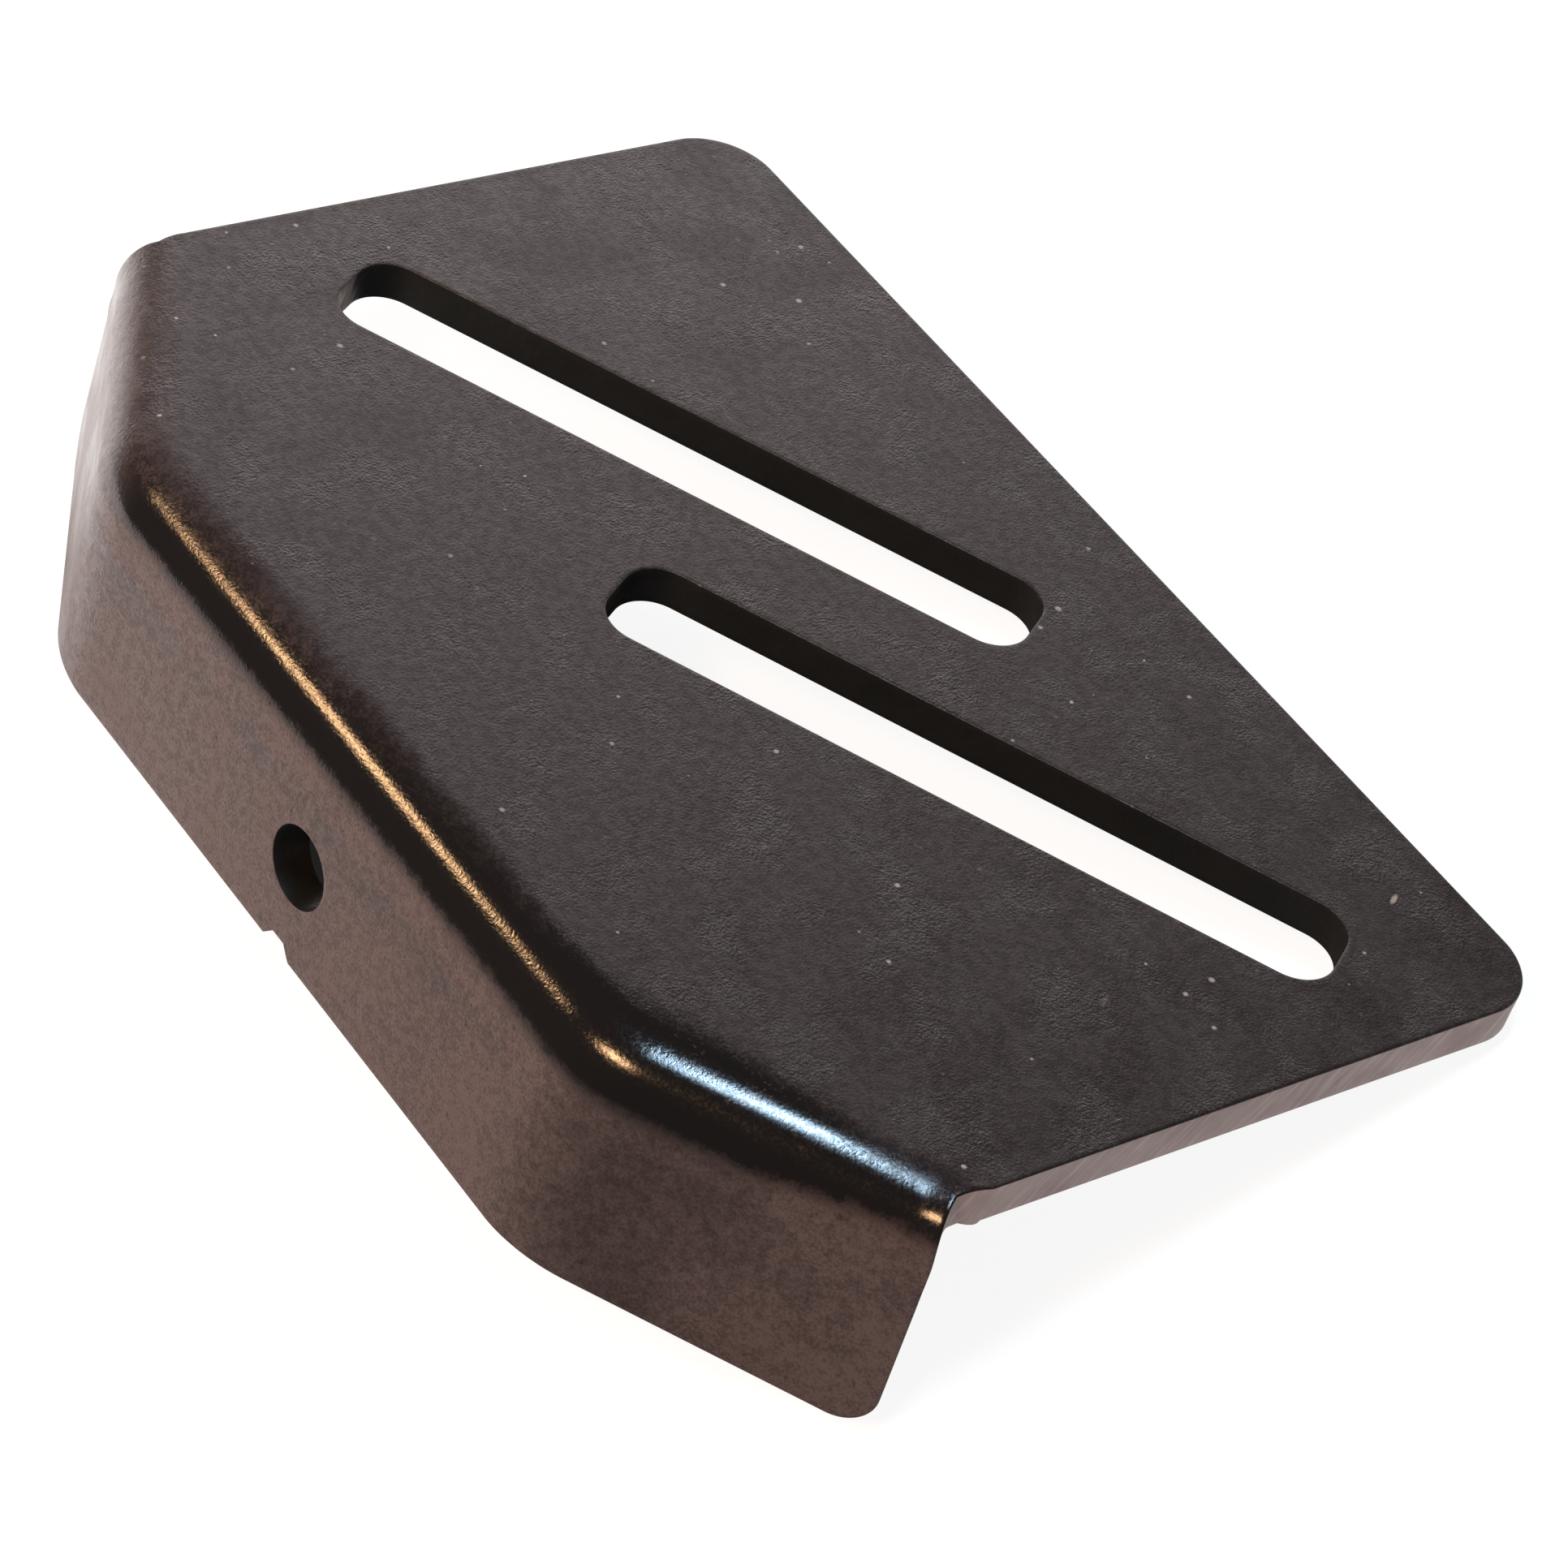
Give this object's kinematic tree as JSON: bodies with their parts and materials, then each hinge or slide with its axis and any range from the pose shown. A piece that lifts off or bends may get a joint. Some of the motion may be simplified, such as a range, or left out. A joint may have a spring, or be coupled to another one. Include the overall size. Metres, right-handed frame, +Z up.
{
  "type": "snow blower skid shoe",
  "caption": "Folded steel skid shoe: flat plate with slanted adjusting slots for bolts, and a boat-shaped runner flange with turned-back ends that slides on the ground.",
  "frame": {"origin": "middle of the box on the surface that the shoe lies on", "axes": "+X along the runner, +Y from the runner towards the plate's free edge, +Z up. The shoe lies on its two flange tips and the plate's free edge, with the plate's outer face up"},
  "size_m": [0.1528, 0.1056, 0.0326],
  "materials": {
    "coated_steel": "satin dark grey-brown coat, lightly scuffed and dusty, glossier along the bend"
  },
  "bodies": {
    "root": {"skid_shoe": "coated_steel"}
  },
  "joints": []
}
